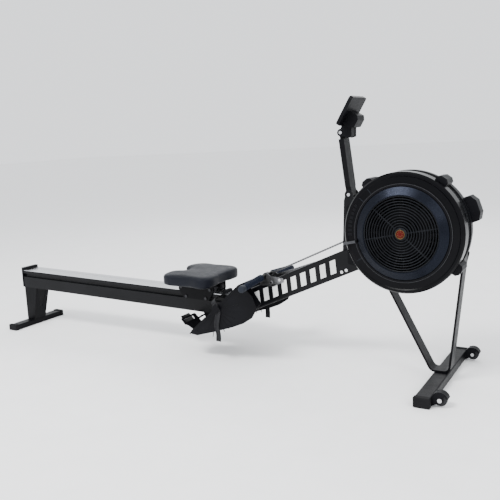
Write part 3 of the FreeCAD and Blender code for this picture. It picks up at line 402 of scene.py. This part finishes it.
# ---------------------------------------------------------------- handle grips
def grips():
    """Ridged sleeves with a plain collar inside and a thick rounded end."""
    core = Vector((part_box("handle_bar")[0].x + 0.011, 0, 0))
    for side, name in ((-1, "grip_near"), (1, "grip_far")):
        inner = Vector((core.x + 0.0001, side * 0.052, 0.3720))
        outer = Vector((core.x + 0.0058, side * 0.2353, 0.3600))
        run = outer - inner
        length = run.length
        profile = [(0.0, 0.0112), (0.0, 0.0142), (0.002, 0.0150), (0.008, 0.0150), (0.010, 0.0138)]
        count = 26
        pitch = (length - 0.040) / count
        for k in range(count):
            s = 0.011 + pitch * k
            profile += [(s, 0.0136), (s + pitch * 0.25, 0.0149),
                        (s + pitch * 0.6, 0.0149), (s + pitch * 0.85, 0.0136)]
        end = length - 0.026
        profile += [(end, 0.0138), (end + 0.001, 0.0152), (end + 0.019, 0.0154), (end + 0.0235, 0.0140),
                    (end + 0.0255, 0.0095), (end + 0.026, 0.0)]
        bm = bmesh.new()
        lathe(bm, profile, inner, run, 40)
        piece = new_piece(name, bm, GRIP, "handle")
        # The rounded end takes the paler grey as a painted highlight on the grip's end.
        piece.data.materials.append(GREY_HIGHLIGHT_AND_MARKS.mat)
        for face in piece.data.polygons:
            if (Vector(face.center) - inner).length > end + 0.0005:
                face.material_index = 1
        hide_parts("handle_grips")


# ---------------------------------------------------------------- chain
PITCH = 0.0127


def plate_outline(a, b, up, radius, waist):
    """Figure-eight outline of one chain plate between two pin centres."""
    along = (b - a).normalized()
    points = []
    for k in range(9):
        angle = math.radians(60 + 240 * k / 8)
        points.append(a + (along * math.cos(angle) + up * math.sin(angle)) * radius)
    points.append((a + b) / 2 - up * waist)
    for k in range(9):
        angle = math.radians(-120 + 240 * k / 8)
        points.append(b + (along * math.cos(angle) + up * math.sin(angle)) * radius)
    points.append((a + b) / 2 + up * waist)
    return points


def chain():
    """Roller chain from the yoke into the casing: plates, rollers and pin ends."""
    low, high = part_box("chain_run")
    rise = math.atan2((high.z - low.z) - CHAIN_BREADTH * math.cos(CHAIN_SLOPE),
                      (high.x - low.x) - CHAIN_BREADTH * math.sin(CHAIN_SLOPE))
    along = Vector((math.cos(rise), 0, math.sin(rise)))
    up = Vector((-along.z, 0, along.x))
    side = DEPTH
    centre = (low + high) / 2
    length = (high.x - low.x - CHAIN_BREADTH * math.sin(rise)) / math.cos(rise)
    count = int(length / PITCH)
    start = centre - along * (PITCH * count / 2)
    bm = bmesh.new()
    for k in range(count):
        a, b = start + along * (PITCH * k), start + along * (PITCH * (k + 1))
        inner, outer = (0.0012, 0.0021) if k % 2 else (0.0022, 0.0031)
        for s in (1, -1):
            edge = sorted((s * inner, s * outer))
            slab(bm, plate_outline(a, b, up, 0.0043, 0.0030), side * edge[0], side * edge[1])
        lathe(bm, [(0, 0), (0, 0.0036), (0.0024, 0.0036), (0.0024, 0)], a - side * 0.0012, side, 12)
        lathe(bm, [(0, 0), (0, 0.0015), (0.0064, 0.0015), (0.0064, 0)], a - side * 0.0032, side, 8)
    piece = new_piece("chain_links", bm, CHAIN, None, smooth=False)
    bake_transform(piece)
    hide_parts("chain_run")


# ---------------------------------------------------------------- perforated band
def perforated():
    """Thin steel band with four rows of round holes."""
    low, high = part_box("perforated_band")
    radius = (high.x - low.x) / 2 - 0.0004
    columns, rows = 132, 4
    width = high.y - low.y
    bm = bmesh.new()
    grid = {}

    def vert(col, row):
        """Lattice point at half-cell steps round and across the band."""
        key = (round(col % columns, 4), round(row, 4))
        if key not in grid:
            a = 2 * math.pi * key[0] / columns
            y = low.y + width * key[1] / rows
            grid[key] = bm.verts.new((FAN.x + radius * math.cos(a), y, FAN.z + radius * math.sin(a)))
        return grid[key]

    square = [(-.5, -.5), (0, -.5), (.5, -.5), (.5, 0), (.5, .5), (0, .5), (-.5, .5), (-.5, 0)]
    for c in range(columns):
        for r in range(rows):
            cx, cy = c + 0.5, r + 0.5
            outer = [vert(cx + u, cy + v) for u, v in square]
            turn = [math.radians(225 + 45 * k) for k in range(8)]
            hole = [vert(cx + 0.31 * math.cos(a), cy + 0.27 * math.sin(a)) for a in turn]
            for k in range(8):
                j = (k + 1) % 8
                bm.faces.new((outer[k], outer[j], hole[j], hole[k]))
    piece = new_piece("perforated_sheet", bm, BAND, "frame", smooth=True)
    solid = piece.modifiers.new("thick", "SOLIDIFY")
    solid.thickness = 0.001
    solid.offset = 0
    bake(piece)
    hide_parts("perforated_band")


# ---------------------------------------------------------------- grille and medallion
def hoop(bm, centre, radius, wire, sides=96, around=10):
    """Torus about the fan's axis."""
    rings = []
    for k in range(sides):
        a = 2 * math.pi * k / sides
        out = Vector((math.cos(a), 0, math.sin(a)))
        turn = [2 * math.pi * j / around for j in range(around)]
        spots = [centre + out * (radius + wire * math.cos(t)) + Vector((0, wire * math.sin(t), 0))
                 for t in turn]
        rings.append([bm.verts.new(p) for p in spots])
    for k in range(sides):
        a, b = rings[k], rings[(k + 1) % sides]
        for j in range(around):
            n = (j + 1) % around
            bm.faces.new((a[j], b[j], b[n], a[n]))


def grille():
    """Guard of round wires on four flat spokes, with a rolled rim and a stepped hub."""
    face = Vector((FAN.x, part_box("fan_grille")[0].y, FAN.z))
    bm = bmesh.new()
    for k in range(11):
        hoop(bm, face + DEPTH * 0.0031, 0.031 + 0.010 * k, 0.0019)
    hoop(bm, face + DEPTH * 0.0035, 0.1405, 0.0025)
    for degrees in (138, 318, 10, 190):
        out, turn = directions(degrees)
        start, end = face + out * 0.018 + DEPTH * 0.0036, face + out * 0.1395 + DEPTH * 0.0036
        outline = [start - turn * 0.0022, start + turn * 0.0022, end + turn * 0.0022, end - turn * 0.0022]
        slab(bm, outline, DEPTH * 0.0, DEPTH * 0.0022)
    hub = [(0.0, 0.0), (0.0, 0.0185), (0.0008, 0.0205), (0.0024, 0.0212), (0.0030, 0.0245),
           (0.0060, 0.0250), (0.0078, 0.0240), (0.0078, 0.0)]
    lathe(bm, hub, face, DEPTH, 64)
    piece = new_piece("grille_wires", bm, RING_GRILLE, "frame")
    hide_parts("fan_grille")


def medallion():
    """Plain domed red disc in a brass rim, with a ring of short plain bars."""
    face = Vector((FAN.x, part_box("hub_medallion")[0].y, FAN.z))
    disc, trim = bmesh.new(), bmesh.new()
    dome = [(0.0, 0.0), (0.0001, 0.006), (0.0006, 0.011), (0.0015, 0.0148), (0.0035, 0.0150), (0.0038, 0.0)]
    lathe(disc, dome, face, DEPTH, 64)
    hoop(trim, face + DEPTH * 0.0019, 0.0163, 0.0014, 64, 8)
    for k in range(8):
        out, turn = directions(22.5 + 45 * k)
        mid = face + out * 0.0088 + DEPTH * 0.0003
        outline = [mid + out * u * 0.0026 + turn * v * 0.0008 for u, v in CORNERS]
        slab(trim, outline, DEPTH * 0.0007, DEPTH * -0.0003)
    piece = new_piece("medallion_disc", disc, LOOKS["red_plastic"], "frame")
    new_piece("medallion_trim", trim, BRASS, "frame")
    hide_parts("hub_medallion")


# ---------------------------------------------------------------- foot straps
def smooth_path(points, steps=8):
    """Points of a Catmull-Rom curve through the given ones."""
    ends = [points[0] * 2 - points[1]] + points + [points[-1] * 2 - points[-2]]
    out = []
    for a, b, c, d in zip(ends, ends[1:], ends[2:], ends[3:]):
        for k in range(steps):
            t = k / steps
            square, cube = (a * 2 - b * 5 + c * 4 - d) * t * t, (b * 3 - a - c * 3 + d) * t ** 3
            out.append(0.5 * (b * 2 + (c - a) * t + square + cube))
    return out + [points[-1]]


def tangents(path):
    """Direction of travel at each point of a path."""
    return [(b - a).normalized() for a, b in zip([path[0]] + path[:-1], path[1:] + [path[-1]])]


def ribbon(bm, centres, sides, normals, half, thick):
    """Webbing along centres: flat middle, two thicker woven edges."""
    shape = [(-1.0, 0.5), (-0.93, 1.0), (-0.80, 1.0), (-0.72, 0.72),
             (0.72, 0.72), (0.80, 1.0), (0.93, 1.0), (1.0, 0.5)]
    shape += [(u, -h) for u, h in reversed(shape)]
    rows = []
    for c, s, n in zip(centres, sides, normals):
        rows.append([bm.verts.new(c + s * (half * u) + n * (thick / 2 * h)) for u, h in shape])
    count = len(shape)
    for a, b in zip(rows, rows[1:]):
        for j in range(count):
            n = (j + 1) % count
            bm.faces.new((a[j], b[j], b[n], a[n]))
    bm.faces.new(rows[0][::-1])
    bm.faces.new(rows[-1])


def toe_straps():
    """Webbing over each foot's toes and its loose tail outside the footrest."""
    along, up = directions(BOARD_ANGLE)
    heel = board_heel()
    middle_line = heel + along * 0.206
    tail_y = 0.1702
    tips = ((-1, "near", 0.159, 0.098), (1, "far", 0.221, 0.121))
    for side, name, tip_x, tip_z in tips:
        bm = bmesh.new()
        y = Vector((0, side, 0))
        shape = [(0.0550, -0.013), (0.0550, 0.006), (0.0585, 0.024), (0.0720, 0.0355), (0.0950, 0.0385),
                 (0.1250, 0.0385), (0.1470, 0.0350), (0.1585, 0.024), (0.1610, 0.006), (0.1610, -0.013)]
        path = smooth_path([middle_line + y * p + up * q for p, q in shape])
        outward = [t.cross(along).normalized() for t in tangents(path)]
        ribbon(bm, path, [along] * len(path), outward, 0.0133, 0.0022)
        top = middle_line + y * tail_y
        last = Vector((tip_x, side * tail_y, tip_z))
        start = top + up * 0.015
        path = smooth_path([start, start - up * 0.035, last + Vector((-0.006, 0, 0.075)),
                            last + Vector((0.001, 0, 0.035)), last])
        ribbon(bm, path, [y.cross(t).normalized() for t in tangents(path)], [y] * len(path), 0.0125, 0.0022)
        piece = new_piece("toe_strap_" + name, bm, LOOKS["webbing"], "frame")
        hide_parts("foot_strap_" + name)


# ---------------------------------------------------------------- printed marks and trim
def beam_frame():
    """Directions along and up the beam, its centre, and the y of its near face."""
    along, up = directions(BEAM_ANGLE)
    low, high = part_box("main_beam")
    return along, up, Vector(((low.x + high.x) / 2, 0, (low.z + high.z) / 2)), low.y


def beam_marks():
    """Plain slanted white bars printed along both sides of the beam."""
    along, up, centre, near = beam_frame()
    tall, wide, pitch, count = 0.054, 0.027, 0.0505, 9
    bm = bmesh.new()
    for side in (-1, 1):
        y = Vector((0, side * abs(near), 0))
        for k in range(count):
            a = centre + y + along * (-0.222 + pitch * k)
            lean = along * 0.009
            rise = up * tall / 2
            b = a + along * wide
            outline = [a - rise - lean, b - rise - lean, b + rise + lean, a + rise + lean]
            slab(bm, outline, Vector((0, 0, 0)), Vector((0, side * 0.0003, 0)))
    new_piece("beam_stripes", bm, STRIPE, "frame", smooth=False)


def on_face(mid, out, turn, half_out, half_turn, y):
    """Rectangle on the drum's near face, half_out by half_turn about mid."""
    corners = [mid + out * a * half_out + turn * b * half_turn for a, b in CORNERS]
    return [Vector((p.x, y, p.z)) for p in corners]


def damper_scale():
    """Raised setting blocks on the drum's face, with three short lines across the damper's sector."""
    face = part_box("fan_cover_near")[0].y + 0.021
    blocks, lines = bmesh.new(), bmesh.new()
    for k in range(8):
        out, turn = directions(150 + 4.6 * k)
        slab(blocks, on_face(FAN + out * 0.2035, out, turn, 0.0055 + 0.0006 * k, 0.0048, face),
             Vector((0, 0.0015, 0)), Vector((0, -0.0022, 0)))
    for degrees in (128, 141, 212):
        out, turn = directions(degrees)
        slab(lines, on_face(FAN + out * 0.1985, out, turn, 0.011, 0.0007, face),
             Vector((0, 0.001, 0)), Vector((0, -0.001, 0)))
    piece = new_piece("damper_blocks", blocks, LOOKS["matte_plastic"], "frame", smooth=False)
    bake(bevel(piece, 0.0008))
    new_piece("damper_sector_edges", lines, GREY_HIGHLIGHT_AND_MARKS, "frame", smooth=False)


# ---------------------------------------------------------------- footrest ribs
def foot_details():
    """Radiating ribs on each footrest's outer wall and treads across its toe end."""
    along, up = directions(BOARD_ANGLE)
    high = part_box("foot_rest_far")[1]
    heel = board_heel()
    for side, name in ((-1, "near"), (1, "far")):
        outer = side * high.y
        ribs, treads = bmesh.new(), bmesh.new()
        centre = heel + along * 0.196 - up * 0.012
        for k in range(9):
            a = math.radians(200 + 17 * k)
            out = along * math.cos(a) + up * math.sin(a)
            turn = up * math.cos(a) - along * math.sin(a)
            reach = 0.100 if k in (2, 3, 4, 5, 6) else 0.125
            start, end = centre + out * 0.030, centre + out * reach
            outline = [start - turn * 0.0018, end - turn * 0.0012, end + turn * 0.0012, start + turn * 0.0018]
            step = Vector((0, side * 0.0008, 0))
            place = Vector((0, outer - side * 0.0012, 0))
            slab(ribs, [p + place for p in outline], -step, step)
        for k in range(9):
            u = 0.245 + 0.013 * k
            start = heel + along * u
            crest = start + up * 0.0013
            outline = [start, start + along * 0.005, crest + along * 0.004, crest + along * 0.001]
            slab(treads, outline, Vector((0, side * 0.058, 0)), Vector((0, side * 0.158, 0)))
        new_piece("skirt_ribs_" + name, ribs, LOOKS["matte_plastic"], "frame", smooth=False)
        new_piece("toe_treads_" + name, treads, LOOKS["rubber"], "frame", smooth=False)


# ---------------------------------------------------------------- seat cushion
PAD_SHRINK = (0.975, 0.980, 0.93)
SWELL_LIMIT = 0.006


def seat_cushion():
    """Moulded pad: remeshed from the CAD solid, swollen under pressure, then smoothed."""
    source = NODES["seat_pad"]
    piece = bpy.data.objects.new("seat_cushion", source.data.copy())
    bpy.context.scene.collection.objects.link(piece)
    low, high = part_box("seat_pad")
    centre = (low + high) / 2
    for v in piece.data.vertices:
        v.co = centre + Vector([(v.co[i] - centre[i]) * PAD_SHRINK[i] for i in range(3)])
    remesh = piece.modifiers.new("even", "REMESH")
    remesh.mode = "VOXEL"
    remesh.voxel_size = 0.006
    bake(piece)
    sculpt(piece, low, high)
    swell(piece)
    smooth = piece.modifiers.new("smooth", "SMOOTH")
    smooth.iterations = 6
    smooth.factor = 0.5
    fine = piece.modifiers.new("fine", "SUBSURF")
    fine.levels = fine.render_levels = 1
    bake(piece)
    for face in piece.data.polygons:
        face.use_smooth = True
    dress(piece, LOOKS["seat_foam"])
    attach(piece, "seat")
    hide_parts("seat_pad")


def sculpt(piece, low, high):
    """Raises the two rear lobes and dips the middle, as the seat's top is shaped."""
    centre = (low + high) / 2
    for v in piece.data.vertices:
        share = (v.co.z - low.z) / (high.z - low.z)
        if share < 0.45:
            continue
        back = (centre.x - v.co.x) / (high.x - low.x)
        lobe = math.exp(-((abs(v.co.y) - 0.070) / 0.05) ** 2)
        v.co.z += (share - 0.45) * (0.010 * back - 0.010 * (1 - lobe) * max(0.0, back + 0.2))


def swell(piece):
    """Pressure from inside for twenty frames, with no point moving far."""
    before = [v.co.copy() for v in piece.data.vertices]
    cloth = piece.modifiers.new("cloth", "CLOTH")
    cloth.settings.use_pressure = True
    cloth.settings.uniform_pressure_force = 4.0
    cloth.settings.effector_weights.gravity = 0.0
    cloth.settings.quality = 5
    cloth.point_cache.frame_start = 1
    cloth.point_cache.frame_end = 20
    scene = bpy.context.scene
    for f in range(1, 21):
        scene.frame_set(f)
    shape = piece.evaluated_get(bpy.context.evaluated_depsgraph_get()).data
    moved = [v.co.copy() for v in shape.vertices]
    piece.modifiers.remove(cloth)
    scene.frame_set(1)
    for v, start, end in zip(piece.data.vertices, before, moved):
        step = end - start
        if step.length > SWELL_LIMIT:
            step = step.normalized() * SWELL_LIMIT
        v.co = start + step


# ---------------------------------------------------------------- stage
def soft_light(name, place, target, size, power):
    """Rectangular area light at place, turned to face target."""
    data = bpy.data.lights.new(name, "AREA")
    data.shape = "RECTANGLE"
    data.size, data.size_y = size
    data.energy = power
    lamp = bpy.data.objects.new(name, data)
    bpy.context.scene.collection.objects.link(lamp)
    lamp.location = place
    lamp.rotation_euler = (Vector(target) - Vector(place)).to_track_quat("-Z", "Y").to_euler()


def stage():
    """Pale floor, even sky light and three soft lights."""
    bm = bmesh.new()
    bmesh.ops.create_grid(bm, x_segments=1, y_segments=1, size=40)
    mesh = bpy.data.meshes.new("floor")
    bm.to_mesh(mesh)
    floor = bpy.data.objects.new("floor", mesh)
    bpy.context.scene.collection.objects.link(floor)
    look = coated("pale_floor", (0.92, 0.92, 0.92), (0.95, 0.95, 0.95), 0.75, 300, 0.05)
    dress(floor, look)
    world = bpy.data.worlds.new("studio")
    world.use_nodes = True
    world.node_tree.nodes["Background"].inputs["Color"].default_value = (0.95, 0.97, 1.0, 1)
    world.node_tree.nodes["Background"].inputs["Strength"].default_value = WORLD_STRENGTH
    bpy.context.scene.world = world
    soft_light("key", (-0.5, -3.0, 4.2), (0.6, 0, 0.5), (2.2, 0.9), 260)
    soft_light("front", (3.6, -1.6, 2.4), (0.9, 0, 0.6), (2.0, 2.0), 60)
    soft_light("back", (-0.5, 3.5, 3.2), (0.0, 0, 0.4), (3.0, 1.6), 60)


def camera():
    """Camera at the photograph's viewing angle, with a slight roll."""
    yaw, pitch, roll = math.radians(31.2), math.radians(9.86), math.radians(-3.18)
    back = Vector((math.sin(yaw) * math.cos(pitch), -math.cos(yaw) * math.cos(pitch), math.sin(pitch)))
    right = Vector((math.cos(yaw), math.sin(yaw), 0))
    up = back.cross(right)
    rolled_right = right * math.cos(roll) + up * math.sin(roll)
    rolled_up = up * math.cos(roll) - right * math.sin(roll)
    data = bpy.data.cameras.new("camera")
    data.sensor_width = 36
    data.lens = 46.7
    cam = bpy.data.objects.new("camera", data)
    bpy.context.scene.collection.objects.link(cam)
    turn = Matrix((rolled_right, rolled_up, back)).transposed().to_4x4()
    cam.matrix_world = Matrix.Translation(Vector((1.7324, -2.457, 0.983))) @ turn
    bpy.context.scene.camera = cam


grips()
chain()
perforated()
beam_marks()
damper_scale()
foot_details()
grille()
medallion()
toe_straps()
seat_cushion()
stage()
camera()

bpy.context.view_layer.update()
